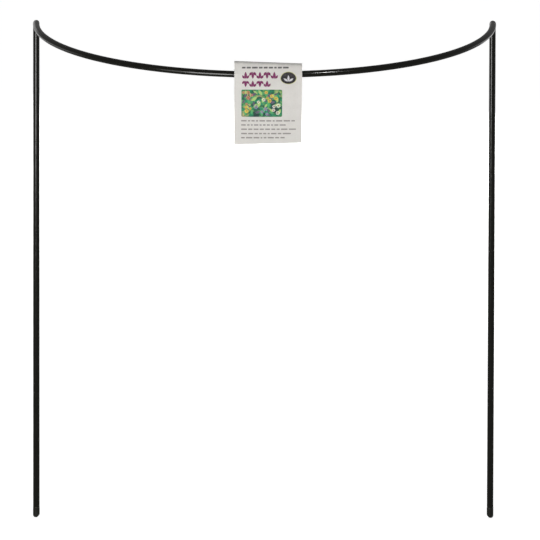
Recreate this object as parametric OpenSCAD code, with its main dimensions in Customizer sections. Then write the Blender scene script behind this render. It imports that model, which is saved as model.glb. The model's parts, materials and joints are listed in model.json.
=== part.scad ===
// Plant support: a half-round hoop on two legs, bent from one plastic-coated steel rod.
// The tips of the legs are capped and cut on a slant, and a folded card tag hangs on the hoop.
// The tips stand on z = 0, the legs are at the back and the hoop bows forward, towards -Y.
// The Z axis runs through the middle of the whole part, seen from above.

/* [Hoop] */
// Distance between the centres of the two legs
leg_spacing = 452; // [300:1:700]
// Height of the top of the hoop above the tips of the legs
hoop_height = 510; // [300:1:900]
// Radius of the bend between a leg and the hoop, at the middle of the rod
bend_radius = 12; // [8:0.5:30]

/* [Rod] */
// Diameter of the steel core
core_diameter = 5; // [3:0.05:8]
// Wall of the plastic coat
coat_wall = 0.63; // [0.3:0.01:1.5]
// Gap between the steel and the plastic round it
coat_gap = 0.02; // [0.01:0.01:0.1]

/* [Tip caps] */
// Length of bare steel that a cap holds
cap_socket = 7; // [4:0.5:20]
// Thickness of plastic between the end of the steel and the slanted cut
cap_floor = 0.8; // [0.4:0.1:3]
// How far a cap stands out past the coat, all round
cap_lip = 0.2; // [0.05:0.05:0.6]
// Radius of the rounding at the end of a cap
tip_rounding = 2.5; // [0.5:0.1:2.6]
// Slope of the slanted cut across the tip, measured from level
slant_angle = 45; // [30:1:60]
// Height at which the slanted cut meets the inner side of the cap
slant_rise = 2.9; // [1:0.1:5]

/* [Tag] */
// Width of the tag, along the hoop
tag_width = 66; // [40:1:110]
// Height of the tag, from its crease to its lower edge
tag_height = 82; // [60:1:150]
// How far the tag hangs to the right of the hoop's middle
tag_shift = 2.6; // [-20:0.1:20]
// Thickness of the card
card_thickness = 0.4; // [0.2:0.05:0.8]
// Gap between the tag's loop and the rod
tag_gap = 0.3; // [0.2:0.05:1]
// How far the crease stands above the loop
crease_rise = 6.8; // [3:0.1:15]
// Distance below the loop over which the two leaves come together
leaf_taper = 16; // [8:0.5:24]
// Thickness of the glue between the two leaves
glue_thickness = 0.2; // [0.1:0.05:0.5]
// Bare border of the leaves round the glue
glue_margin = 8; // [3:0.5:12]

/* [Hidden] */

rod_facets = 48;
hoop_facets = 240;
// Extra length of a cut past the face that it leaves
past = 1;
// How far the tag's flat flanks cut inside the circles of its loop, so that the two cross cleanly
flank_inset = 0.1;

core_radius = core_diameter / 2;
bore_radius = core_radius + coat_gap;
coat_radius = bore_radius + coat_wall;
cap_radius = coat_radius + cap_lip;
hoop_radius = leg_spacing / 2;
hoop_z = hoop_height - coat_radius;
leg_top_z = hoop_z - bend_radius;

core_end_z = slant_rise + cap_floor;
cap_top_z = core_end_z + cap_socket;
tip_round = min(tip_rounding, cap_radius);

// Across the tag's width the hoop bows forward by tag_bow, and the loop is wide enough for that.
tag_reach = tag_width / 2 + abs(tag_shift);
tag_bow = hoop_radius - sqrt(hoop_radius ^ 2 - tag_reach ^ 2);
loop_inside = coat_radius + tag_bow / 2 + tag_gap + flank_inset;
loop_outside = loop_inside + card_thickness;
crease_height = loop_outside + crease_rise;
crease_angle = asin((loop_outside - flank_inset) / crease_height);
half_glue = glue_thickness / 2;
leaf_outside = half_glue + card_thickness;
join_depth = loop_inside + leaf_taper;
join_distance = sqrt(half_glue ^ 2 + join_depth ^ 2);
join_angle = asin((loop_inside - flank_inset) / join_distance) - atan(half_glue / join_depth);
join_depth_outside = join_depth + card_thickness * tan(join_angle / 2);
leaf_depth = tag_height - crease_height;
glue_height = leaf_depth - join_depth - 2 * glue_margin;

// The legs are set back so that the part's depth lies evenly on both sides of y = 0.
loop_reach = bend_radius + hoop_radius - tag_bow / 2;
leg_y = (loop_reach + loop_outside - cap_radius) / 2;
loop_y = leg_y - loop_reach;

// Turns a drawing's x and y into the part's Y and Z
module upright() {
    rotate([90, 0, 90]) children();
}

// One rod of the given radius along the legs, the bends and the hoop, from the height bottom_z
module bent_rod(radius, bottom_z) {
    for (side = [-1, 1]) {
        translate([side * hoop_radius, leg_y, bottom_z])
            cylinder(h = leg_top_z - bottom_z, r = radius, $fn = rod_facets);
        translate([side * hoop_radius, leg_y - bend_radius, leg_top_z])
            upright()
            rotate_extrude(angle = 90, $fn = hoop_facets)
            translate([bend_radius, 0])
            circle(r = radius, $fn = rod_facets);
    }
    translate([0, leg_y - bend_radius, hoop_z])
        rotate([0, 0, 180])
        rotate_extrude(angle = 180, $fn = hoop_facets)
        translate([hoop_radius, 0])
        circle(r = radius, $fn = rod_facets);
}

module steel_core() {
    color("silver") bent_rod(core_radius, core_end_z);
}

module plastic_coat() {
    color([0.09, 0.09, 0.1])
    difference() {
        bent_rod(coat_radius, cap_top_z);
        bent_rod(bore_radius, cap_top_z - past);
    }
}

// Half of a cap's cross-section, with its rounded end at the bottom
module cap_profile() {
    translate([0, tip_round]) square([cap_radius, cap_top_z - tip_round]);
    square([cap_radius - tip_round, cap_top_z]);
    intersection() {
        translate([cap_radius - tip_round, tip_round]) circle(r = tip_round, $fn = rod_facets);
        square([cap_radius, cap_top_z]);
    }
}

// A cap on its own axis, with its slanted cut on the -X side
module tip_cap() {
    cut_size = 2 * (cap_radius + cap_top_z);
    difference() {
        rotate_extrude($fn = rod_facets) cap_profile();
        translate([0, 0, core_end_z])
            cylinder(h = cap_socket + past, r = bore_radius, $fn = rod_facets);
        translate([-cap_radius, 0, slant_rise])
            rotate([0, slant_angle, 0])
            translate([-cut_size / 2, -cut_size / 2, -cut_size])
            cube(cut_size);
    }
}

module left_tip_cap() {
    color([0.11, 0.11, 0.12])
    translate([-hoop_radius, leg_y, 0])
        mirror([1, 0, 0])
        tip_cap();
}

module right_tip_cap() {
    color([0.11, 0.11, 0.12])
    translate([hoop_radius, leg_y, 0]) tip_cap();
}

// Point of a circle on the loop's middle, at an angle from level
function on_circle(radius, angle) = [radius * cos(angle), radius * sin(angle)];

// The outline of the loop and the leaves at one face of the card, drawn round the middle of the loop
module tag_outline(radius, half_width, join, bottom) {
    flank_distance = radius - flank_inset;
    up = on_circle(flank_distance, crease_angle);
    down = on_circle(flank_distance, -join_angle);
    crease = flank_distance / sin(crease_angle);
    circle(r = radius, $fn = rod_facets);
    polygon([[0, crease], [-up.x, up.y], [0, 0], up]);
    polygon([
        [0, 0], [-down.x, down.y], [-half_width, -join], [-half_width, -bottom],
        [half_width, -bottom], [half_width, -join], down
    ]);
}

module tag_card() {
    color([0.85, 0.84, 0.82])
    translate([tag_shift, loop_y, hoop_z])
        upright()
        linear_extrude(tag_width, center = true)
        difference() {
            tag_outline(loop_outside, leaf_outside, join_depth_outside, leaf_depth);
            tag_outline(loop_inside, half_glue, join_depth, leaf_depth + past);
        }
}

module tag_glue() {
    color("ivory")
    translate([tag_shift, loop_y, hoop_z - join_depth - glue_margin - glue_height / 2])
        cube([tag_width - 2 * glue_margin, glue_thickness, glue_height], center = true);
}

steel_core();
plastic_coat();
left_tip_cap();
right_tip_cap();
tag_card();
tag_glue();
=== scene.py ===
"""The looks of a plant support hoop: a coated rod with capped tips and a folded, printed card tag.

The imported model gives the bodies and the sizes. Every piece made here rides on one of its bodies.
Lengths are in metres, with X to the right, Z up and the hoop bowing towards -Y.
"""
import json
import math
import random

import bmesh
import bpy
from mathutils import Matrix, Vector, noise


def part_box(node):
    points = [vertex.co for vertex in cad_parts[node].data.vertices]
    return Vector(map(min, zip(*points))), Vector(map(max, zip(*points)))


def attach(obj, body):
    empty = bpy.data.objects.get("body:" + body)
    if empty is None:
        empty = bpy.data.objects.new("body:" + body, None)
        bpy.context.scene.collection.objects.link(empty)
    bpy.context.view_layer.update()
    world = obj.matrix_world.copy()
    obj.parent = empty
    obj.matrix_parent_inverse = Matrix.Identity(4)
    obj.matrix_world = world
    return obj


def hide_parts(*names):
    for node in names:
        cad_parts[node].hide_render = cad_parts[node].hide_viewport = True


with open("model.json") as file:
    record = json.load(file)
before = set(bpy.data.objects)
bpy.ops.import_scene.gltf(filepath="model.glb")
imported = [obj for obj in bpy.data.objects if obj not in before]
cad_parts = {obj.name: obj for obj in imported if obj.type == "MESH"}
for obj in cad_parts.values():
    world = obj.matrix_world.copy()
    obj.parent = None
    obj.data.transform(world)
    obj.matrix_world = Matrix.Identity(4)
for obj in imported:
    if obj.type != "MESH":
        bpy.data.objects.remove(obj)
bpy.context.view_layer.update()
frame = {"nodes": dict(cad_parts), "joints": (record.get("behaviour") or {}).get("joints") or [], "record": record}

MM = 0.001

# Sizes of the rod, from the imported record
MOUNTS = {mount["name"]: mount for mount in frame["record"]["mounts"]}
LEG = MOUNTS["right_leg"]
HOOP_RADIUS, LEG_Y, LEG_MIDDLE_Z = LEG["pos_m"]
COAT_RADIUS = LEG["dims"]["r_mm"] * MM
LEG_LENGTH = LEG["dims"]["length_mm"] * MM
LEG_BOTTOM_Z = LEG_MIDDLE_Z - LEG_LENGTH / 2
LEG_TOP_Z = LEG_MIDDLE_Z + LEG_LENGTH / 2
LOOP_MIDDLE = Vector(frame["joints"][0]["pos_m"])
HOOP_Z = LOOP_MIDDLE.z
BEND_RADIUS = HOOP_Z - LEG_TOP_Z
CORE_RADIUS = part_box("steel_core")[1].x - HOOP_RADIUS
CORE_END_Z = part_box("steel_core")[0].z
COAT_GAP = 0.02 * MM
BORE_RADIUS = CORE_RADIUS + COAT_GAP
BEND_LENGTH = BEND_RADIUS * math.pi / 2
ROD_LENGTH = 2 * (LEG_LENGTH + BEND_LENGTH) + math.pi * HOOP_RADIUS

# Sizes of the tag, with heights measured from the middle of its loop
TAG_LOW, TAG_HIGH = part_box("tag_card")
TAG_WIDTH = TAG_HIGH.x - TAG_LOW.x
TAG_TOP = TAG_HIGH.z - HOOP_Z
TAG_BOTTOM = TAG_LOW.z - HOOP_Z
CARD_THICKNESS = 0.4 * MM
LOOP_OUTSIDE = (TAG_HIGH.y - TAG_LOW.y) / 2
LOOP_MIDLINE = LOOP_OUTSIDE - CARD_THICKNESS / 2
GLUE_LOW, GLUE_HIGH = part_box("tag_glue")
GLUE_THICKNESS = GLUE_HIGH.y - GLUE_LOW.y
LEAF_MIDLINE = (GLUE_THICKNESS + CARD_THICKNESS) / 2
# The crease falls to the right. A grey band of painted shade lies along it, from this far below it to this far
# above.
CREASE_SLOPE = -0.0357
CREASE_SHADE_WIDTH = 1.7 * MM
CREASE_SHADE_ABOVE = 0.3 * CREASE_SHADE_WIDTH


def srgb(red, green, blue):
    """The linear colour of a screen colour given from 0 to 255."""
    def linear(value):
        value /= 255
        return value / 12.92 if value <= 0.04045 else ((value + 0.055) / 1.055) ** 2.4
    return linear(red), linear(green), linear(blue), 1.0


# Materials. A texture scale of 100 makes features of about 10 mm.

ROD_UV = "rod"
PLASTIC_GLOSS = 0.18
INK_SPECULAR = 0.1
INK_ROUGHNESS = (0.55, 0.75)
THIN_INK = 0.6
TOOTH_SCALE = 2400

# Depths of the fine relief
DRAW_LINE_DEPTH = 0.012 * MM
LUMP_DEPTH = 0.15 * MM
PIT_DEPTH = 0.03 * MM
PATCH_DEPTH = 0.1 * MM
STEEL_LINE_DEPTH = 0.01 * MM
FIBRE_DEPTH = 0.03 * MM
TOOTH_DEPTH = 0.012 * MM
BUBBLE_DEPTH = 0.05 * MM

# Numbers of the Mix node's sockets for colours
MIX_SHARE, MIX_FIRST, MIX_SECOND, MIX_RESULT = 0, 6, 7, 2


class Material:
    """A node material, with short ways to add the textures that drive its shader."""

    def __init__(self, name, specular=0.5, metallic=0.0, gloss=0.0, gloss_roughness=0.25):
        self.made = bpy.data.materials.new(name)
        self.made.use_nodes = True
        self.tree = self.made.node_tree
        self.shader = self.tree.nodes["Principled BSDF"]
        self.shader.inputs["Specular IOR Level"].default_value = specular
        self.shader.inputs["Metallic"].default_value = metallic
        self.shader.inputs["Coat Weight"].default_value = gloss
        self.shader.inputs["Coat Roughness"].default_value = gloss_roughness

    def feed(self, socket, value):
        """Links a socket to another node's output, or sets it to a plain value."""
        if isinstance(value, bpy.types.NodeSocket):
            self.tree.links.new(value, socket)
        else:
            socket.default_value = value

    def node(self, kind, **sockets):
        made = self.tree.nodes.new("ShaderNode" + kind)
        for name, value in sockets.items():
            self.feed(made.inputs[name.replace("_", " ")], value)
        return made

    def place(self, scales, uv_map=None):
        """Texture coordinates in metres, on the object or on a named UV map, times a scale on each axis."""
        if uv_map:
            source = self.node("UVMap")
            source.uv_map = uv_map
            place = source.outputs["UV"]
        else:
            place = self.node("TexCoord").outputs["Object"]
        return self.node("Mapping", Vector=place, Scale=scales).outputs["Vector"]

    def noise(self, scales, detail=2.0, uv_map=None):
        place = self.place(scales, uv_map)
        return self.node("TexNoise", Vector=place, Scale=1.0, Detail=detail).outputs["Fac"]

    def remap(self, value, result, source=(0.3, 0.7)):
        """The value, moved from its source range to the result's range."""
        made = self.node("MapRange", Value=value, From_Min=source[0], From_Max=source[1],
                         To_Min=result[0], To_Max=result[1])
        return made.outputs["Result"]

    def math(self, operation, first, second=0.0):
        made = self.node("Math")
        made.operation = operation
        self.feed(made.inputs[0], first)
        self.feed(made.inputs[1], second)
        return made.outputs["Value"]

    def weighted(self, first, first_share, second, second_share):
        """The sum of two values, each times its share."""
        first_part = self.math("MULTIPLY", first, first_share)
        second_part = self.math("MULTIPLY", second, second_share)
        return self.math("ADD", first_part, second_part)

    def ramp(self, value, stops):
        made = self.node("ValToRGB", Fac=value)
        elements = made.color_ramp.elements
        while len(elements) < len(stops):
            elements.new(0.5)
        for element, (position, colour) in zip(elements, stops):
            element.position = position
            element.color = colour
        return made.outputs["Color"]

    def mix(self, share, first, second):
        made = self.node("Mix")
        made.data_type = "RGBA"
        self.feed(made.inputs[MIX_SHARE], share)
        self.feed(made.inputs[MIX_FIRST], first)
        self.feed(made.inputs[MIX_SECOND], second)
        return made.outputs[MIX_RESULT]

    def bump(self, height, depth, under=None):
        made = self.node("Bump", Height=height, Distance=depth)
        if under:
            self.feed(made.inputs["Normal"], under)
        return made.outputs["Normal"]

    def drive(self, **sockets):
        for name, value in sockets.items():
            self.feed(self.shader.inputs[name.replace("_", " ")], value)
        return self.made


def even(scale):
    """One texture scale for all three axes."""
    return scale, scale, scale


def coat_material():
    """Satin black plastic, drawn along the rod, a little lumpy and scuffed."""
    coat = Material("satin_black_coat", specular=0.0, gloss=PLASTIC_GLOSS, gloss_roughness=0.16)
    draw_lines = coat.noise((45, 1300, 1), 3.0, ROD_UV)
    lumps = coat.noise(even(75))
    dulled = coat.noise((110, 320, 1), 4.0, ROD_UV)
    specks = coat.noise(even(1900), 1.0)
    black = coat.ramp(lumps, [(0.3, srgb(8, 8, 3)), (0.7, srgb(13, 13, 7))])
    scuffs = coat.remap(dulled, (0.0, 0.5), (0.6, 0.8))
    grey = coat.mix(scuffs, black, srgb(33, 32, 27))
    dust = coat.remap(specks, (0.0, 0.5), (0.68, 0.8))
    colour = coat.mix(dust, grey, srgb(52, 51, 45))
    streaked = coat.weighted(draw_lines, 0.4, dulled, 0.6)
    rough = coat.remap(streaked, (0.45, 0.7), (0.35, 0.68))
    relief = coat.bump(draw_lines, DRAW_LINE_DEPTH, coat.bump(lumps, LUMP_DEPTH))
    return coat.drive(Base_Color=colour, Roughness=rough, Normal=relief, Coat_Normal=relief)


def cap_material():
    """The same plastic where the tips are sealed: duller, with a finely pitted skin."""
    cap = Material("sealed_tip_plastic", specular=0.0, gloss=PLASTIC_GLOSS, gloss_roughness=0.3)
    pits = cap.noise(even(1500), 3.0)
    patches = cap.noise(even(260), 3.0)
    black = cap.ramp(patches, [(0.3, srgb(15, 15, 11)), (0.7, srgb(29, 29, 24))])
    worn = cap.remap(pits, (0.0, 0.45), (0.6, 0.8))
    colour = cap.mix(worn, black, srgb(66, 65, 58))
    rough = cap.remap(patches, (0.28, 0.5))
    relief = cap.bump(pits, PIT_DEPTH, cap.bump(patches, PATCH_DEPTH))
    return cap.drive(Base_Color=colour, Roughness=rough, Normal=relief, Coat_Normal=relief)


def steel_material():
    """Drawn steel rod, with fine lines and a trace of tarnish."""
    steel = Material("drawn_steel", metallic=1.0)
    lines = steel.noise((900, 900, 30), 3.0)
    tarnish = steel.noise(even(60), 4.0)
    colour = steel.ramp(tarnish, [(0.3, srgb(168, 169, 171)), (0.7, srgb(196, 197, 199))])
    rough = steel.remap(lines, (0.25, 0.45))
    return steel.drive(Base_Color=colour, Roughness=rough, Normal=steel.bump(lines, STEEL_LINE_DEPTH))


def card_material():
    """Uncoated off-white card: fibres, faint mottling, painted shade along the crease and slightly soiled cut
    edges.
    """
    card = Material("uncoated_card", specular=0.15)
    fibres = card.noise((2600, 2600, 700), 3.0)
    cross_fibres = card.noise((600, 2600, 2400), 3.0)
    mottling = card.noise(even(120), 3.0)
    base = card.ramp(mottling, [(0.3, srgb(211, 208, 203)), (0.7, srgb(217, 214, 209))])
    felt = card.math("MULTIPLY", card.math("ADD", fibres, cross_fibres), 0.5)
    flecks = card.remap(felt, (0.0, 0.5), (0.56, 0.7))
    flecked = card.mix(flecks, base, srgb(186, 181, 172))

    place = card.node("SeparateXYZ", Vector=card.node("TexCoord").outputs["Object"])
    # Painted shade: a grey band with a noisy edge along the crease, where the fold leans back from the light
    slope = card.math("MULTIPLY", place.outputs["X"], CREASE_SLOPE)
    level = card.math("SUBTRACT", place.outputs["Z"], slope)
    shade_edge_noise = card.math("MULTIPLY", card.noise(even(420), 3.0), CREASE_SHADE_WIDTH)
    ragged = card.math("ADD", level, shade_edge_noise)
    crease_level = HOOP_Z + TAG_TOP - CREASE_SLOPE * LOOP_MIDDLE.x
    crease_shade = card.remap(ragged, (0.0, 0.85), (crease_level - CREASE_SHADE_WIDTH, crease_level + CREASE_SHADE_ABOVE))
    crease_shaded = card.mix(crease_shade, flecked, srgb(148, 146, 143))

    facing = card.node("SeparateXYZ", Vector=card.node("TexCoord").outputs["Normal"])
    sideways = card.math("ABSOLUTE", facing.outputs["X"])
    soiled = card.remap(sideways, (0.0, 0.6), (0.75, 0.98))
    colour = card.mix(soiled, crease_shaded, srgb(196, 192, 185))
    rough = card.remap(felt, (0.62, 0.85))
    return card.drive(Base_Color=colour, Roughness=rough, Normal=card.bump(felt, FIBRE_DEPTH))


def ink_material(name, colour, grain=0.1):
    """A printed colour: slightly uneven cover and the card's tooth showing through."""
    ink = Material(name, specular=INK_SPECULAR)
    tooth = ink.noise(even(TOOTH_SCALE))
    cover = ink.noise(even(500))
    paler = tuple(part + (THIN_INK - part) * grain for part in colour[:3]) + (1.0,)
    solid = ink.ramp(cover, [(0.3, colour), (0.75, paler)])
    bare = ink.remap(tooth, (0.0, 0.5), (0.68, 0.8))
    printed = ink.mix(bare, solid, srgb(200, 196, 190))
    rough = ink.remap(tooth, INK_ROUGHNESS)
    return ink.drive(Base_Color=printed, Roughness=rough, Normal=ink.bump(tooth, TOOTH_DEPTH))


def foliage_material():
    """The ground of the printed picture: blurred beds of leaves in several greens."""
    beds = Material("printed_foliage", specular=INK_SPECULAR)
    far = beds.noise((75, 75, 110))
    leaves = beds.node("TexVoronoi", Vector=beds.place((260, 260, 360)), Scale=1.0)
    shade = beds.node("SeparateXYZ", Vector=leaves.outputs["Color"]).outputs["X"]
    mixed = beds.weighted(far, 0.8, shade, 0.3)
    greens = beds.ramp(mixed, [
        (0.36, srgb(22, 58, 52)), (0.46, srgb(20, 112, 78)), (0.56, srgb(40, 146, 92)),
        (0.66, srgb(120, 172, 96)), (0.78, srgb(188, 176, 120)),
    ])
    gaps = beds.remap(leaves.outputs["Distance"], (0.0, 0.6), (0.35, 0.9))
    colour = beds.mix(gaps, greens, srgb(24, 54, 46))
    tooth = beds.noise(even(TOOTH_SCALE))
    rough = beds.remap(tooth, INK_ROUGHNESS)
    return beds.drive(Base_Color=colour, Roughness=rough, Normal=beds.bump(tooth, TOOTH_DEPTH))


def glue_material():
    """Dried yellowish glue with bubbles."""
    glue = Material("dried_glue")
    bubbles = glue.noise(even(700))
    smear = glue.noise((160, 40, 160), 3.0)
    colour = glue.ramp(smear, [(0.3, srgb(232, 222, 196)), (0.7, srgb(216, 203, 170))])
    rough = glue.remap(bubbles, (0.25, 0.5))
    return glue.drive(Base_Color=colour, Roughness=rough, Normal=glue.bump(bubbles, BUBBLE_DEPTH))


# Meshes

SHARP_EDGE = math.radians(50)


def piece(name, points, faces, material, body, replaces=()):
    """A smooth-shaded mesh that rides on a body, with the material it is given."""
    mesh = bpy.data.meshes.new(name)
    mesh.from_pydata(points, [], faces)
    mesh.validate()
    mesh.polygons.foreach_set("use_smooth", [True] * len(mesh.polygons))
    mesh.set_sharp_from_angle(angle=SHARP_EDGE)
    mesh.materials.append(material)
    made = bpy.data.objects.new(name, mesh)
    bpy.context.scene.collection.objects.link(made)
    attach(made, body)
    if replaces:
        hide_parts(*replaces)
    return made


def strips(first, second, closed=True):
    """Faces between two rows of points, given by their numbers."""
    count = len(first)
    ends = range(count if closed else count - 1)
    return [(first[i], first[(i + 1) % count], second[(i + 1) % count], second[i]) for i in ends]


def fan(ring, hub):
    """Faces between a closed ring of points and the point in its middle, given by their numbers."""
    return [(ring[i], ring[(i + 1) % len(ring)], hub) for i in range(len(ring))]


def flipped(faces):
    return [tuple(reversed(corners)) for corners in faces]


# The coated rod

ROD_SIDES = 36
RING_STEP = 2.0 * MM
BORE_STEP = 6.0 * MM
# The coat stands a little proud of its solid, with long waves and short ripples in its face.
COAT_PROUD = 0.08 * MM
WAVE_HEIGHT = 0.04 * MM
WAVE_LENGTH = 24 * MM
RIPPLE_HEIGHT = 0.01 * MM
RIPPLE_LENGTH = 9 * MM


def mirrored(point):
    return Vector((-point.x, point.y, point.z))


def rod_frame(distance):
    """Middle of the rod, its direction and the way out of the hoop, at a distance from the left tip."""
    if distance > ROD_LENGTH / 2:
        middle, along, out = rod_frame(ROD_LENGTH - distance)
        return mirrored(middle), -mirrored(along), mirrored(out)
    if distance <= LEG_LENGTH:
        middle = Vector((-HOOP_RADIUS, LEG_Y, LEG_BOTTOM_Z + distance))
        return middle, Vector((0, 0, 1)), Vector((-1, 0, 0))
    distance -= LEG_LENGTH
    if distance <= BEND_LENGTH:
        turn = distance / BEND_RADIUS
        middle = Vector((-HOOP_RADIUS, LEG_Y - BEND_RADIUS * (1 - math.cos(turn)),
                         LEG_TOP_Z + BEND_RADIUS * math.sin(turn)))
        return middle, Vector((0, -math.sin(turn), math.cos(turn))), Vector((-1, 0, 0))
    turn = (distance - BEND_LENGTH) / HOOP_RADIUS
    out = Vector((-math.cos(turn), -math.sin(turn), 0))
    middle = Vector((0, LEG_Y - BEND_RADIUS, HOOP_Z)) + HOOP_RADIUS * out
    return middle, Vector((math.sin(turn), -math.cos(turn), 0)), out


def rod_rings(step, radius, waves):
    """Rings of points round the rod at even steps, with the coat's slight waves on them where asked for."""
    count = math.ceil(ROD_LENGTH / step)
    rings = []
    for i in range(count + 1):
        middle, along, out = rod_frame(ROD_LENGTH * i / count)
        across = along.cross(out)
        ring = []
        for side in range(ROD_SIDES):
            turn = math.tau * side / ROD_SIDES
            point = middle + radius * (math.cos(turn) * out + math.sin(turn) * across)
            if waves:
                rise = COAT_PROUD + WAVE_HEIGHT * noise.noise(point / WAVE_LENGTH)
                rise += RIPPLE_HEIGHT * noise.noise(point / RIPPLE_LENGTH)
                point += rise * (point - middle).normalized()
            ring.append(point)
        rings.append(ring)
    return rings


def make_coat(material):
    outside = rod_rings(RING_STEP, COAT_RADIUS, True)
    bore = rod_rings(BORE_STEP, BORE_RADIUS, False)
    points = [point for ring in outside + bore for point in ring]
    numbers = [list(range(i * ROD_SIDES, (i + 1) * ROD_SIDES)) for i in range(len(outside) + len(bore))]
    skin, lining = numbers[:len(outside)], numbers[len(outside):]
    faces = []
    for low, high in zip(skin, skin[1:]):
        faces += strips(low, high)
    for low, high in zip(lining, lining[1:]):
        faces += strips(high, low)
    faces += strips(lining[0], skin[0]) + strips(skin[-1], lining[-1])
    coat = piece("plastic_coat_skin", points, faces, material, "support", ["plastic_coat"])
    lay_uv(coat.data, len(outside), len(bore))


def lay_uv(mesh, skin_rings, lining_rings):
    """A UV map in metres: along the rod, and round it."""
    ways = mesh.uv_layers.new(name=ROD_UV)
    girth = math.tau * COAT_RADIUS
    for face in mesh.polygons:
        corners = [(loop, mesh.loops[loop].vertex_index) for loop in face.loop_indices]
        sides = [vertex % ROD_SIDES for _, vertex in corners]
        wraps = max(sides) - min(sides) > 1
        for (loop, vertex), side in zip(corners, sides):
            ring = vertex // ROD_SIDES
            if ring < skin_rings:
                share = ring / (skin_rings - 1)
            else:
                share = (ring - skin_rings) / (lining_rings - 1)
            round_share = (side + (ROD_SIDES if wraps and side == 0 else 0)) / ROD_SIDES
            ways.data[loop].uv = (share * ROD_LENGTH, round_share * girth)


# The sealed tips

CAP_SIDES = 64
CAP_EDGE = 0.15 * MM
CAP_EDGE_TURNS = (math.radians(30), math.radians(60), math.radians(90))
CAP_SIDE_STEPS = 16
CAP_ROUND_STEPS = 12
CAP_END_RINGS = (0.75, 0.5, 0.25)
TIP_ROUNDING = 2.5 * MM
SLANT_RISE = 2.9 * MM
SLANT_SLOPE = math.radians(45)
SLANT_SOFTNESS = 0.16 * MM
CAP_RIPPLE = 0.035 * MM
CAP_RIPPLE_LENGTH = 3.5 * MM
# Largest power that is taken, so that it can't overflow
HIGHEST_POWER = 60


def cap_section(radius, top):
    """Points (radius, height) on a cap from its socket's mouth, down its outside and in across its end."""
    section = [(BORE_RADIUS, top), (radius - CAP_EDGE, top)]
    section += [(radius - CAP_EDGE * (1 - math.sin(turn)), top - CAP_EDGE * (1 - math.cos(turn)))
                for turn in CAP_EDGE_TURNS]
    side = top - CAP_EDGE - TIP_ROUNDING
    section += [(radius, top - CAP_EDGE - side * i / CAP_SIDE_STEPS) for i in range(1, CAP_SIDE_STEPS + 1)]
    for i in range(1, CAP_ROUND_STEPS + 1):
        turn = math.pi / 2 * i / CAP_ROUND_STEPS
        section.append((radius - TIP_ROUNDING * (1 - math.cos(turn)), TIP_ROUNDING * (1 - math.sin(turn))))
    flat = radius - TIP_ROUNDING
    section += [(flat * share, 0) for share in CAP_END_RINGS]
    return section


def cap_circle(radius, height):
    """Points of a level circle round a cap's own axis."""
    turns = [math.tau * side / CAP_SIDES for side in range(CAP_SIDES)]
    return [Vector((radius * math.cos(turn), radius * math.sin(turn), height)) for turn in turns]


def make_cap(name, x, inward, material, node):
    """A cap on the leg at x, with its slanted cut on the side that inward gives."""
    low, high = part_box(node)
    radius = (high.x - low.x) / 2
    slant = Vector((math.sin(SLANT_SLOPE) * inward, 0, -math.cos(SLANT_SLOPE)))
    corner = Vector((inward * radius, 0, SLANT_RISE))
    middle = Vector((x, LEG_Y, 0))

    def shaped(point):
        """The point with the slant's softened cut and a ripple on the outside."""
        past = (point - corner).dot(slant)
        cut = SLANT_SOFTNESS * math.log1p(math.exp(min(past / SLANT_SOFTNESS, HIGHEST_POWER)))
        ripple = CAP_RIPPLE * noise.noise((point + middle) / CAP_RIPPLE_LENGTH)
        outward = Vector((point.x, point.y, 0))
        if outward.length > BORE_RADIUS:
            point = point + ripple * outward.normalized()
        return point - cut * slant + middle

    points = []
    rings = []
    for ring_radius, height in cap_section(radius, high.z):
        rings.append(list(range(len(points), len(points) + CAP_SIDES)))
        points += [shaped(point) for point in cap_circle(ring_radius, height)]
    faces = []
    for upper, lower in zip(rings, rings[1:]):
        faces += strips(lower, upper)
    tip = len(points)
    points.append(shaped(Vector((0, 0, 0))))
    faces += flipped(fan(rings[-1], tip))
    socket = list(range(len(points), len(points) + CAP_SIDES))
    points += [point + middle for point in cap_circle(BORE_RADIUS, CORE_END_Z)]
    faces += strips(rings[0], socket)
    floor = len(points)
    points.append(Vector((0, 0, CORE_END_Z)) + middle)
    faces += fan(socket, floor)
    piece(name, points, faces, material, "support", [node])


# The folded card tag

TAG_COLUMNS = 40
LEAF_STEPS = 18
TAPER_STEPS = 14
LOOP_STEPS = 14
FLANK_STEPS = 10
CREASE_STEPS = 6
CREASE_ROUNDING = 0.5 * MM
FLANK_BULGE = 0.5 * MM
# The lower edge rises to the right.
LOWER_SLOPE = 0.0235
# Depth below the middle of the loop at which the leaves meet
LEAVES_MEET = 21 * MM
# Angle below level at which the loop ends
LOOP_LOWER_TURN = math.radians(24)
# How far the lower right corner bends back, and the share of that at the lower left corner
CURL = 1.6 * MM
CURL_LEFT_SHARE = 0.3
CURL_LIMIT = 1.2
# How far the middle of the leaves bows forward
BELLY = 0.5 * MM
# How far out the right edge is cut at the crease, and how much less that is at the lower edge
UPPER_SPREAD = 0.4 * MM
LOWER_PINCH = 0.2 * MM


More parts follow.
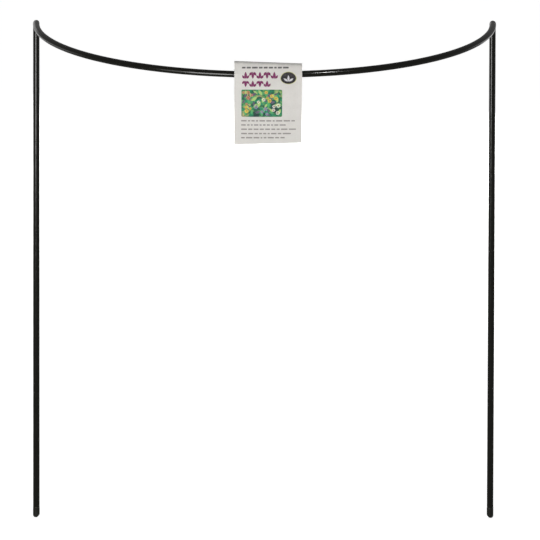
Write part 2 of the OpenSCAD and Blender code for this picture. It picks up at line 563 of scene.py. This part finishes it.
def card_section(x):
    """Middle line of the card's front half at x from the tag's middle, from its lower edge to its crease.

    Each step is (height, how far forward, the upward part of its outward normal, the forward part).
    """
    top = TAG_TOP + CREASE_SLOPE * x
    bottom = TAG_BOTTOM + LOWER_SLOPE * x
    crease = top - CARD_THICKNESS / 2 - CREASE_ROUNDING
    flank = math.asin((LOOP_MIDLINE - CREASE_ROUNDING) / crease)
    steps = []
    for i in range(LEAF_STEPS):
        height = bottom + (-LEAVES_MEET - bottom) * i / LEAF_STEPS
        steps.append((height, LEAF_MIDLINE, 0.0, 1.0))
    loop_start = (-LOOP_MIDLINE * math.sin(LOOP_LOWER_TURN), LOOP_MIDLINE * math.cos(LOOP_LOWER_TURN))
    span = loop_start[0] + LEAVES_MEET
    gain = loop_start[1] - LEAF_MIDLINE
    lean = math.tan(LOOP_LOWER_TURN) * span
    for i in range(TAPER_STEPS):
        share = i / TAPER_STEPS
        forward = LEAF_MIDLINE + (3 * gain - lean) * share ** 2 + (lean - 2 * gain) * share ** 3
        slope = (2 * (3 * gain - lean) * share + 3 * (lean - 2 * gain) * share ** 2) / span
        length = math.hypot(1, slope)
        steps.append((-LEAVES_MEET + span * share, forward, -slope / length, 1 / length))
    for i in range(LOOP_STEPS + 1):
        turn = -LOOP_LOWER_TURN + (flank + LOOP_LOWER_TURN) * i / LOOP_STEPS
        up, out = math.sin(turn), math.cos(turn)
        steps.append((LOOP_MIDLINE * up, LOOP_MIDLINE * out, up, out))
    start = steps[-1]
    up, out = math.sin(flank), math.cos(flank)
    end = (crease + CREASE_ROUNDING * up, CREASE_ROUNDING * out)
    length = math.dist(start[:2], end)
    for i in range(1, FLANK_STEPS):
        share = i / FLANK_STEPS
        bulge = FLANK_BULGE * math.sin(math.pi * share) ** 2
        height = start[0] + (end[0] - start[0]) * share + bulge * up
        forward = start[1] + (end[1] - start[1]) * share + bulge * out
        lean = flank - FLANK_BULGE * math.pi * math.sin(math.tau * share) / length
        steps.append((height, forward, math.sin(lean), math.cos(lean)))
    for i in range(CREASE_STEPS + 1):
        turn = flank + (math.pi / 2 - flank) * i / CREASE_STEPS
        up, out = math.sin(turn), math.cos(turn)
        steps.append((crease + CREASE_ROUNDING * up, CREASE_ROUNDING * out, up, out))
    return steps


def card_place(x, height, forward):
    """A point of the tag in the frame: the card's belly, its curled corner and its slightly uneven cut."""
    drop = (-LEAVES_MEET - height) / (-LEAVES_MEET - TAG_BOTTOM)
    drop = min(max(drop, 0), CURL_LIMIT)
    side = 0.5 + x / TAG_WIDTH
    back = CURL * drop ** 2 * (CURL_LEFT_SHARE + (1 - CURL_LEFT_SHARE) * side ** 2)
    back -= BELLY * math.sin(math.pi * min(drop, 1)) * (1 - (2 * side - 1) ** 2)
    fall = (TAG_TOP - height) / (TAG_TOP - TAG_BOTTOM)
    spread = max(2 * side - 1, 0) * (UPPER_SPREAD - LOWER_PINCH * fall)
    return LOOP_MIDDLE + Vector((x + spread, back - forward, height))


def make_card(material):
    points = []
    outside = []
    inside = []
    for column in range(TAG_COLUMNS + 1):
        x = TAG_WIDTH * (column / TAG_COLUMNS - 0.5)
        front = card_section(x)
        back = [(height, -forward, up, -out) for height, forward, up, out in reversed(front[:-1])]
        for rows, face in ((outside, CARD_THICKNESS / 2), (inside, -CARD_THICKNESS / 2)):
            rows.append(list(range(len(points), len(points) + len(front) + len(back))))
            for height, forward, up, out in front + back:
                points.append(card_place(x, height + face * up, forward + face * out))
    faces = []
    for left, right in zip(outside, outside[1:]):
        faces += strips(right, left, False)
    for left, right in zip(inside, inside[1:]):
        faces += strips(left, right, False)
    faces += strips(outside[0], inside[0], False) + strips(inside[-1], outside[-1], False)
    for end in (0, -1):
        outer = [row[end] for row in outside]
        inner = [row[end] for row in inside]
        faces += strips(inner, outer, False) if end == 0 else strips(outer, inner, False)
    piece("tag_card_sheet", points, faces, material, "tag", ["tag_card"])


GLUE_RINGS = 12
GLUE_SIDES = 72
# Gap between the glue and the card, which keeps their faces apart
GLUE_SKIN = 0.002 * MM
# The corners of the glue are cut off at this share of the way to a square's side.
GLUE_CORNER = 0.82
GLUE_WANDER = 1.2 * MM
GLUE_WAVES = 6
GLUE_NOISE_LEVEL = 3


def glue_edge(turn):
    """How far out the edge of the glue lies from that of its solid, at an angle round its middle."""
    place = Vector((GLUE_WAVES * math.cos(turn), GLUE_WAVES * math.sin(turn), GLUE_NOISE_LEVEL))
    return GLUE_WANDER * (0.5 * noise.noise(place) - 0.5)


def make_glue(material):
    """The film of glue between the two leaves, with an uneven edge."""
    middle = (GLUE_LOW + GLUE_HIGH) / 2
    half_width = (GLUE_HIGH.x - GLUE_LOW.x) / 2
    half_height = (GLUE_HIGH.z - GLUE_LOW.z) / 2
    points = []
    faces = []
    rims = []
    for face in (1, -1):
        forward = face * (GLUE_THICKNESS / 2 - GLUE_SKIN)
        numbers = []
        for ring in range(1, GLUE_RINGS + 1):
            numbers.append(list(range(len(points), len(points) + GLUE_SIDES)))
            for side in range(GLUE_SIDES):
                turn = math.tau * side / GLUE_SIDES
                reach = 1 / max(abs(math.cos(turn)), abs(math.sin(turn)), GLUE_CORNER)
                x = (half_width + glue_edge(turn)) * reach * math.cos(turn) * ring / GLUE_RINGS
                z = (half_height + glue_edge(turn)) * reach * math.sin(turn) * ring / GLUE_RINGS
                points.append(card_place(x, middle.z + z - HOOP_Z, forward))
        hub = len(points)
        points.append(card_place(0, middle.z - HOOP_Z, forward))
        sheet = fan(numbers[0], hub)
        for inner, outer in zip(numbers, numbers[1:]):
            sheet += strips(outer, inner)
        faces += sheet if face == 1 else flipped(sheet)
        rims.append(numbers[-1])
    faces += strips(rims[1], rims[0])
    piece("tag_glue_film", points, faces, material, "tag", ["tag_glue"])


# The print: plates of ink that stand on the card's front and reach a little way into it

INK_RISE = 0.03 * MM
INK_LAYER = 0.014 * MM
INK_ROOT = 0.04 * MM

# From here on the sizes of the print are in millimetres. Its places are measured from the middle of the tag
# and from the middle of its loop.
INK_STRIP = 0.5
INK_COLUMN = 1.6
INK_SNAP = 0.002


def on_card(x, height, lift):
    """The point of the card's front at x and height in metres, lifted off its face."""
    section = card_section(x)
    after = next((i for i, step in enumerate(section) if step[0] >= height), len(section) - 1)
    after = max(after, 1)
    low, high = section[after - 1], section[after]
    share = (height - low[0]) / (high[0] - low[0])
    _, forward, up, out = (a + (b - a) * share for a, b in zip(low, high))
    rise = CARD_THICKNESS / 2 + lift
    return card_place(x, height, forward) + rise * Vector((0, -out, up))


def cut_across(flat, direction, step):
    """Cuts a flat mesh at every step along a direction."""
    places = [vert.co.dot(direction) for vert in flat.verts]
    for i in range(math.ceil(min(places) / step), math.floor(max(places) / step) + 1):
        everything = flat.verts[:] + flat.edges[:] + flat.faces[:]
        bmesh.ops.bisect_plane(
            flat, geom=everything, dist=INK_SNAP, plane_co=i * step * direction, plane_no=direction)


def print_piece(name, outlines, material, layer=0):
    """Flat outlines as thin plates of ink that follow the card. Their points run anticlockwise."""
    flat = bmesh.new()
    for outline in outlines:
        flat.faces.new([flat.verts.new((x, 0, z)) for x, z in outline])
    bmesh.ops.remove_doubles(flat, verts=flat.verts[:], dist=INK_SNAP)
    cut_across(flat, Vector((0, 0, 1)), INK_STRIP)
    cut_across(flat, Vector((1, 0, 0)), INK_COLUMN)
    flat.verts.index_update()
    count = len(flat.verts)
    lift = INK_RISE + INK_LAYER * layer
    points = [on_card(vert.co.x * MM, vert.co.z * MM, lift) for vert in flat.verts]
    points += [on_card(vert.co.x * MM, vert.co.z * MM, -INK_ROOT) for vert in flat.verts]
    faces = []
    for face in flat.faces:
        corners = [vert.index for vert in face.verts]
        faces.append(tuple(corners))
        faces.append(tuple(corner + count for corner in reversed(corners)))
        for loop in face.loops:
            if loop.edge.is_boundary:
                start, end = loop.vert.index, loop.link_loop_next.vert.index
                faces.append((start, start + count, end + count, end))
    flat.free()
    piece(name, points, faces, material, "tag")


def turned(points, x, z, angle):
    """Points turned anticlockwise by an angle and moved to (x, z)."""
    c, s = math.cos(angle), math.sin(angle)
    return [(x + c * px - s * pz, z + s * px + c * pz) for px, pz in points]


def leaf(x, z, length, width, angle, steps=7):
    """A pointed leaf from its stalk end at (x, z), upright at angle 0."""
    right = [(width / 2 * math.sin(math.pi * i / steps), length * i / steps) for i in range(steps)]
    left = [(-width / 2 * math.sin(math.pi * i / steps), length * i / steps) for i in range(steps, 0, -1)]
    left[0] = (0.0, length)
    return turned(right + left, x, z, angle)


def oval(x, z, width, height, sides):
    turns = [math.tau * i / sides for i in range(sides)]
    return [(x + width / 2 * math.cos(turn), z + height / 2 * math.sin(turn)) for turn in turns]


def oval_ring(x, z, width, height, thickness, sides):
    """The border inside an oval, as a chain of four-cornered parts."""
    outer = oval(x, z, width, height, sides)
    inner = oval(x, z, width - 2 * thickness, height - 2 * thickness, sides)
    return [[inner[i - 1], outer[i - 1], outer[i], inner[i]] for i in range(sides)]


def rounded(left, right, low, high, radius, steps):
    """A rectangle with rounded corners."""
    corners = []
    middles = ((right - radius, low + radius), (right - radius, high - radius),
               (left + radius, high - radius), (left + radius, low + radius))
    for quarter, (x, z) in enumerate(middles):
        for i in range(steps + 1):
            turn = math.pi / 2 * (quarter - 1 + i / steps)
            corners.append((x + radius * math.cos(turn), z + radius * math.sin(turn)))
    return corners


PRINT_SEED = 11
# The bars: a row at the top and lines of them under the picture, each line with its height and its right end
PRINT_LEFT = -25.6
BAR_ROUNDING = 0.3
BAR_CORNER_STEPS = 3
DASH_RIGHT = 20.0
DASH_ROW = 7.3
DASH_HEIGHT = 1.5
DASH_LENGTHS = (1.6, 6.0)
DASH_GAP = 1.1
LINE_LEFT = PRINT_LEFT - 0.6
LINE_HEIGHT = 1.35
LINE_LENGTHS = (1.8, 6.4)
LINE_GAP = 1.2
LINES = ((-46.6, 26.3), (-50.8, 17.4), (-55.1, 27.3), (-59.5, 22.3), (-63.7, 16.4))
# The frieze of sprigs: each row has the height of its foot and its number of sprigs.
FRIEZE_LEFT = -25.4
FRIEZE_PITCH = 7.0
FRIEZE_ROWS = ((-3.6, 5), (-12.6, 4))
SPRIG_HEIGHT = 7.2
SPRIG_LEAF_WIDTH = 2.7
SIDE_LEAF_WIDTH = 2.3
SIDE_LEAF_SHARE = 0.62
SIDE_LEAF_OUT = 0.9
SIDE_LEAF_UP = 0.2
SIDE_LEAF_TILT = math.radians(34)
# The oval seal, with a border and three leaves: each leaf has the side that it leans to and its length.
SEAL_X, SEAL_Z = 19.8, -2.9
SEAL_WIDTH, SEAL_HEIGHT = 15.7, 13.0
SEAL_SIDES = 64
SEAL_RING = 0.42
SEAL_RING_SIDES = 48
EMBLEM_LEAVES = ((-1, 5.6), (0, 6.6), (1, 5.6))
EMBLEM_LEAF_WIDTH = 2.1
EMBLEM_FOOT = SEAL_Z - 3.4
EMBLEM_SPREAD = 0.35
EMBLEM_TILT = math.radians(52)


def dashes(rng, left, right, z, height, lengths, gap):
    """A row of short bars between two ends, where the real tag has words."""
    shortest, longest = lengths
    low, high = z - height / 2, z + height / 2
    row = []
    start = left
    while start < right - shortest:
        end = min(start + rng.uniform(shortest, longest), right)
        if right - end < shortest + gap:
            end = right
        row.append(rounded(start, end, low, high, height * BAR_ROUNDING, BAR_CORNER_STEPS))
        start = end + gap
    return row


def sprig(x, z, height, turned_over):
    """Three leaves on one foot, as on a garden border."""
    side = -1 if turned_over else 1
    foot = z + height if turned_over else z
    base = math.pi if turned_over else 0.0
    side_foot = foot + side * SIDE_LEAF_UP
    side_length = SIDE_LEAF_SHARE * height
    tilt = side * SIDE_LEAF_TILT
    return [
        leaf(x, foot, height, SPRIG_LEAF_WIDTH, base),
        leaf(x + SIDE_LEAF_OUT, side_foot, side_length, SIDE_LEAF_WIDTH, base - tilt),
        leaf(x - SIDE_LEAF_OUT, side_foot, side_length, SIDE_LEAF_WIDTH, base + tilt),
    ]


def make_print():
    rng = random.Random(PRINT_SEED)
    dark_ink = ink_material("print_dark_grey", srgb(92, 88, 86))
    plum_ink = ink_material("print_plum", srgb(116, 34, 84), grain=0.04)
    grey_ink = ink_material("print_grey", srgb(138, 133, 128))
    seal_ink = ink_material("print_black", srgb(32, 27, 32), grain=0.03)
    pale_ink = ink_material("print_pale_yellow", srgb(206, 204, 132))
    white_ink = ink_material("print_white", srgb(212, 210, 214))

    top_row = dashes(rng, PRINT_LEFT, DASH_RIGHT, DASH_ROW, DASH_HEIGHT, DASH_LENGTHS, DASH_GAP)
    print_piece("tag_print_dashes", top_row, dark_ink)

    sprigs = []
    for row, (foot, count) in enumerate(FRIEZE_ROWS):
        for i in range(count):
            x = FRIEZE_LEFT + FRIEZE_PITCH * (i + 0.5)
            sprigs += sprig(x, foot, SPRIG_HEIGHT, (i + row) % 2 == 1)
    print_piece("tag_print_sprigs", sprigs, plum_ink)

    print_piece("tag_print_seal", [oval(SEAL_X, SEAL_Z, SEAL_WIDTH, SEAL_HEIGHT, SEAL_SIDES)], seal_ink)
    border = oval_ring(SEAL_X, SEAL_Z, SEAL_WIDTH, SEAL_HEIGHT, SEAL_RING, SEAL_RING_SIDES)
    print_piece("tag_print_seal_border", border, pale_ink, layer=1)
    emblem = [leaf(SEAL_X + lean * EMBLEM_SPREAD, EMBLEM_FOOT, length, EMBLEM_LEAF_WIDTH, -lean * EMBLEM_TILT)
              for lean, length in EMBLEM_LEAVES]
    print_piece("tag_print_seal_leaves", emblem, white_ink, layer=1)

    lines = []
    for z, right in LINES:
        lines += dashes(rng, LINE_LEFT, right, z, LINE_HEIGHT, LINE_LENGTHS, LINE_GAP)
    print_piece("tag_print_lines", lines, grey_ink)
    make_picture(rng)


# The printed picture

PICTURE_LEFT, PICTURE_RIGHT = -26.0, 13.8
PICTURE_LOW, PICTURE_HIGH = -42.6, -15.2
PICTURE_ROUNDING = 1.3
PICTURE_CORNER_STEPS = 5
PICTURE_MARGIN = 0.4
PICTURE_GRAIN = 0.07
LEAF_INKS = (
    ("deep", srgb(12, 78, 56)), ("green", srgb(14, 134, 90)), ("bright", srgb(70, 166, 92)),
    ("pale", srgb(166, 198, 112)), ("dusky", srgb(84, 74, 98)),
)
PETAL_INKS = (
    ("yellow", srgb(238, 194, 44)), ("white", srgb(230, 228, 214)), ("rose", srgb(204, 116, 92)),
    ("lilac", srgb(136, 126, 178)),
)
# Leaves of each ink: their number, the tries for each, lengths, widths as shares of the length, the spread of
# their lean in radians, the places along a leaf that keep clear of other leaves, and how far they keep clear
LEAVES_EACH = 16
LEAF_TRIES = 12
LEAF_LENGTHS = (4.2, 7.6)
LEAF_WIDTHS = (0.34, 0.46)
LEAF_LEAN = 0.75
LEAF_SPINE = (0.1, 0.5, 0.9)
LEAF_SPACING = 2.3
# Beds of flowers: the middle's place, width and height, the ink, and the number of flowers
FLOWER_BEDS = (
    (-20.0, -22.5, 6.0, 5.0, "rose", 5),
    (-7.0, -36.5, 8.0, 4.0, "lilac", 4),
    (2.5, -22.0, 6.5, 4.4, "yellow", 5),
    (8.6, -34.5, 5.0, 6.0, "white", 4),
    (-20.0, -37.0, 5.0, 5.0, "yellow", 3),
    (-8.5, -25.5, 6.0, 3.6, "white", 2),
)
FLOWER_TRIES = 30
FLOWER_RADII = (1.4, 2.3)
FLOWER_GAP = 0.1
FLOWER_TEST_SIDES = 8
# Petals and eyes, as shares of the flower's radius. PETAL_FILL is the share of a circle that the petals fill.
PETAL_COUNTS = (5, 6, 7)
PETAL_FOOT = 0.3
PETAL_LENGTH = 0.72
PETAL_CIRCLE = 0.9
PETAL_FILL = 0.62
PETAL_STEPS = 5
EYE_WIDTH = 0.56
EYE_SIDES = 10


def inside_picture(outline):
    return all(PICTURE_LEFT + PICTURE_MARGIN < x < PICTURE_RIGHT - PICTURE_MARGIN
               and PICTURE_LOW + PICTURE_MARGIN < z < PICTURE_HIGH - PICTURE_MARGIN for x, z in outline)


def scatter_leaves(rng):
    """Leaves inside the picture that keep clear of one another."""
    leaves = []
    taken = []
    for _ in range(LEAVES_EACH * LEAF_TRIES):
        length = rng.uniform(*LEAF_LENGTHS)
        angle = rng.gauss(0, LEAF_LEAN)
        x = rng.uniform(PICTURE_LEFT, PICTURE_RIGHT)
        z = rng.uniform(PICTURE_LOW, PICTURE_HIGH)
        outline = leaf(x, z, length, length * rng.uniform(*LEAF_WIDTHS), angle)
        spine = [(x - math.sin(angle) * length * share, z + math.cos(angle) * length * share)
                 for share in LEAF_SPINE]
        clear = all(math.dist(a, b) > LEAF_SPACING for a in spine for b in taken)
        if clear and inside_picture(outline):
            leaves.append(outline)
            taken += spine
        if len(leaves) == LEAVES_EACH:
            break
    return leaves


def flower(rng, x, z, radius):
    """The petals of one flower."""
    count = rng.choice(PETAL_COUNTS)
    start = rng.uniform(0, math.tau)
    reach = PETAL_FOOT * radius
    width = PETAL_CIRCLE * radius * math.tau / count * PETAL_FILL
    petals = []
    for i in range(count):
        angle = start + math.tau * i / count
        foot = (x - math.sin(angle) * reach, z + math.cos(angle) * reach)
        petals.append(leaf(*foot, PETAL_LENGTH * radius, width, angle, PETAL_STEPS))
    return petals


def scatter_flowers(rng):
    """The petals in each ink, and the eyes of all the flowers."""
    petals = {name: [] for name, _ in PETAL_INKS}
    eyes = []
    taken = []
    for bed_x, bed_z, bed_width, bed_height, name, count in FLOWER_BEDS:
        made = 0
        for _ in range(count * FLOWER_TRIES):
            x = rng.gauss(bed_x, bed_width / 2)
            z = rng.gauss(bed_z, bed_height / 2)
            radius = rng.uniform(*FLOWER_RADII)
            clear = all(math.dist((x, z), other) > radius + other_radius + FLOWER_GAP
                        for other, other_radius in taken)
            bounds = oval(x, z, 2 * radius, 2 * radius, FLOWER_TEST_SIDES)
            if made < count and clear and inside_picture(bounds):
                petals[name] += flower(rng, x, z, radius)
                eyes.append(oval(x, z, EYE_WIDTH * radius, EYE_WIDTH * radius, EYE_SIDES))
                taken.append(((x, z), radius))
                made += 1
    return petals, eyes


def make_picture(rng):
    """A border of leaves and flowers of no particular kind, in layers of ink."""
    ground = rounded(
        PICTURE_LEFT, PICTURE_RIGHT, PICTURE_LOW, PICTURE_HIGH, PICTURE_ROUNDING, PICTURE_CORNER_STEPS)
    print_piece("tag_print_picture", [ground], foliage_material())
    for layer, (name, colour) in enumerate(LEAF_INKS, 1):
        leaves = scatter_leaves(rng)
        leaf_ink = ink_material("print_leaf_" + name, colour, PICTURE_GRAIN)
        print_piece("tag_print_leaves_" + name, leaves, leaf_ink, layer)
    top_layer = len(LEAF_INKS) + 1
    petals, eyes = scatter_flowers(rng)
    for name, colour in PETAL_INKS:
        petal_ink = ink_material("print_petal_" + name, colour, PICTURE_GRAIN)
        print_piece("tag_print_petals_" + name, petals[name], petal_ink, top_layer)
    print_piece("tag_print_flower_eyes", eyes, ink_material("print_ochre", srgb(176, 122, 40)), top_layer)


# The camera, at the photograph's angle. AIM is the point that falls on AIM_PIXEL.

IMAGE_SIZE = 540
SENSOR = 36.0
CAMERA_DISTANCE = 20.0
CAMERA_REACH = 100.0
CAMERA_PITCH = math.radians(13.43)
CAMERA_YAW = math.radians(0.259)
CAMERA_ROLL = math.radians(0.15)
PIXELS_PER_METRE = 1011.99
AIM_AHEAD = 0.11
AIM_Z = 0.255
AIM = Vector((0, LEG_Y - AIM_AHEAD, AIM_Z))
AIM_PIXEL = (264.23, 294.22)


def make_camera():
    ahead = Vector((math.sin(CAMERA_YAW) * math.cos(CAMERA_PITCH),
                    math.cos(CAMERA_YAW) * math.cos(CAMERA_PITCH), -math.sin(CAMERA_PITCH)))
    level = Vector((math.cos(CAMERA_YAW), -math.sin(CAMERA_YAW), 0))
    upward = level.cross(ahead)
    right = math.cos(CAMERA_ROLL) * level + math.sin(CAMERA_ROLL) * upward
    up = math.cos(CAMERA_ROLL) * upward - math.sin(CAMERA_ROLL) * level
    across = (IMAGE_SIZE / 2 - AIM_PIXEL[0]) / PIXELS_PER_METRE
    above = (AIM_PIXEL[1] - IMAGE_SIZE / 2) / PIXELS_PER_METRE
    middle = AIM + across * right + above * up
    lens = bpy.data.cameras.new("camera")
    lens.sensor_width = SENSOR
    lens.lens = PIXELS_PER_METRE * CAMERA_DISTANCE * SENSOR / IMAGE_SIZE
    lens.clip_end = CAMERA_REACH
    camera = bpy.data.objects.new("camera", lens)
    turn = Matrix((right, up, -ahead)).transposed().to_4x4()
    camera.matrix_world = Matrix.Translation(middle - ahead * CAMERA_DISTANCE) @ turn
    bpy.context.scene.collection.objects.link(camera)
    bpy.context.scene.camera = camera


# The studio: a white floor and world, and soft lamps

WHITE = (1.0, 1.0, 1.0, 1.0)
AMBIENT = 0.15
SUN = 0.5
SUN_ANGLE = math.radians(30)
SUN_DIRECTION = Vector((0.1, 0.25, -1))
FLOOR_SIZE = 30.0
FLOOR_COLOUR = (0.8, 0.8, 0.8, 1.0)
FLOOR_SEEN = (0.5, 0.5, 0.5, 1.0)
FLOOR_GLOW = 0.85
LAMP_AIM = (0, LOOP_MIDDLE.y, 0.42)
LEFT_BEND = (-HOOP_RADIUS, LEG_Y, HOOP_Z)
# Lamps: name, place, aim, width and height, and radiance. These two light the part and aren't mirrored.
LIGHTING_LAMPS = (
    ("front_light", (-0.45, -1.75, 0.3), LAMP_AIM, (1.4, 0.5), 9.2),
    ("back_light", (0.35, 1.9, 0.45), LAMP_AIM, (1.2, 0.7), 9.0),
)
# These are only mirrored: streaks along the left of the hoop and the legs, a glint right of the tag, cards
# that lie on the floor behind the part and face up, and a panel behind it.
MIRRORED_LAMPS = (
    ("key_wide_mirrored", (-0.73, -1.14, 0.36), LAMP_AIM, (0.94, 0.62), 10.5),
    ("key_narrow_mirrored", (-0.52, -1.05, 0.37), LAMP_AIM, (0.5, 0.58), 32.0),
    ("glint_mirrored", (0.736, -1.141, 1.275), LAMP_AIM, (0.17, 0.22), 360.0),
    ("left_card_mirrored", (-2.22, 1.78, 0.01), (-2.22, 1.78, 1.0), (3.95, 1.25), 2.8),
    ("right_card_mirrored", (1.32, 1.75, 0.01), (1.32, 1.75, 1.0), (2.15, 1.3), 3.2),
    ("far_card_mirrored", (-2.72, 0.82, 0.01), (-2.72, 0.82, 1.0), (3.55, 0.64), 2.8),
    ("back_panel_mirrored", (-0.83, 2.55, 0.51), LEFT_BEND, (1.26, 0.89), 2.6),
)


def seen_rays(tree):
    """1 for rays from the camera, mirrored rays and rays through glass, 0 for light that falls on things."""
    path = tree.nodes.new("ShaderNodeLightPath")
    total = path.outputs["Is Camera Ray"]
    for name in ("Is Glossy Ray", "Is Transmission Ray"):
        either = tree.nodes.new("ShaderNodeMath")
        either.operation = "MAXIMUM"
        tree.links.new(total, either.inputs[0])
        tree.links.new(path.outputs[name], either.inputs[1])
        total = either.outputs[0]
    return total


def make_world():
    """White where it is seen or mirrored, and dim where it lights the part."""
    world = bpy.data.worlds.new("studio")
    world.use_nodes = True
    tree = world.node_tree
    background = tree.nodes["Background"]
    background.inputs["Color"].default_value = WHITE
    level = tree.nodes.new("ShaderNodeMapRange")
    level.inputs["To Min"].default_value = AMBIENT
    level.inputs["To Max"].default_value = 1.0
    tree.links.new(seen_rays(tree), level.inputs["Value"])
    tree.links.new(level.outputs["Result"], background.inputs["Strength"])
    bpy.context.scene.world = world


def make_floor():
    """A pale floor that keeps the part's shadow, with a glow where it is seen or mirrored."""
    made = bpy.data.materials.new("studio_floor")
    made.use_nodes = True
    tree = made.node_tree
    tree.nodes.remove(tree.nodes["Principled BSDF"])
    plain = tree.nodes.new("ShaderNodeBsdfDiffuse")
    plain.inputs["Color"].default_value = FLOOR_COLOUR
    seen = tree.nodes.new("ShaderNodeBsdfDiffuse")
    seen.inputs["Color"].default_value = FLOOR_SEEN
    glow = tree.nodes.new("ShaderNodeEmission")
    glow.inputs["Strength"].default_value = FLOOR_GLOW
    both = tree.nodes.new("ShaderNodeAddShader")
    tree.links.new(seen.outputs[0], both.inputs[0])
    tree.links.new(glow.outputs[0], both.inputs[1])
    choice = tree.nodes.new("ShaderNodeMixShader")
    tree.links.new(seen_rays(tree), choice.inputs["Fac"])
    tree.links.new(plain.outputs[0], choice.inputs[1])
    tree.links.new(both.outputs[0], choice.inputs[2])
    tree.links.new(choice.outputs[0], tree.nodes["Material Output"].inputs["Surface"])
    half = FLOOR_SIZE / 2
    corners = [(-half, -half, 0), (half, -half, 0), (half, half, 0), (-half, half, 0)]
    mesh = bpy.data.meshes.new("floor")
    mesh.from_pydata(corners, [], [(0, 1, 2, 3)])
    mesh.materials.append(made)
    floor = bpy.data.objects.new("floor", mesh)
    bpy.context.scene.collection.objects.link(floor)


def aimed(direction):
    """The turn that points a lamp in a direction."""
    return direction.to_track_quat("-Z", "Y").to_matrix().to_4x4()


def make_sun():
    """Wide soft light from above, which lights the floor evenly and leaves no mirror image."""
    light = bpy.data.lights.new("overhead_light", "SUN")
    light.energy = SUN
    light.angle = SUN_ANGLE
    lamp = bpy.data.objects.new("overhead_light", light)
    lamp.matrix_world = aimed(SUN_DIRECTION)
    lamp.visible_glossy = False
    bpy.context.scene.collection.objects.link(lamp)


def make_lamp(name, place, aim, size, radiance, mirrored_only):
    """A soft rectangular lamp. Its power gives the radiance that its mirror image has."""
    light = bpy.data.lights.new(name, "AREA")
    light.shape = "RECTANGLE"
    light.size, light.size_y = size
    light.energy = radiance * math.pi * size[0] * size[1]
    lamp = bpy.data.objects.new(name, light)
    lamp.matrix_world = Matrix.Translation(place) @ aimed(Vector(aim) - Vector(place))
    lamp.visible_camera = False
    lamp.visible_diffuse = not mirrored_only
    lamp.visible_glossy = mirrored_only
    bpy.context.scene.collection.objects.link(lamp)


make_camera()
make_world()
make_floor()
make_sun()
for lamp_row in LIGHTING_LAMPS:
    make_lamp(*lamp_row, mirrored_only=False)
for lamp_row in MIRRORED_LAMPS:
    make_lamp(*lamp_row, mirrored_only=True)

make_coat(coat_material())
cap_plastic = cap_material()
make_cap("left_tip_cap_skin", -HOOP_RADIUS, 1, cap_plastic, "left_tip_cap")
make_cap("right_tip_cap_skin", HOOP_RADIUS, -1, cap_plastic, "right_tip_cap")
make_card(card_material())
make_glue(glue_material())
make_print()
core = frame["nodes"]["steel_core"]
core.data.materials.clear()
core.data.materials.append(steel_material())

bpy.context.scene.view_settings.view_transform = "Standard"
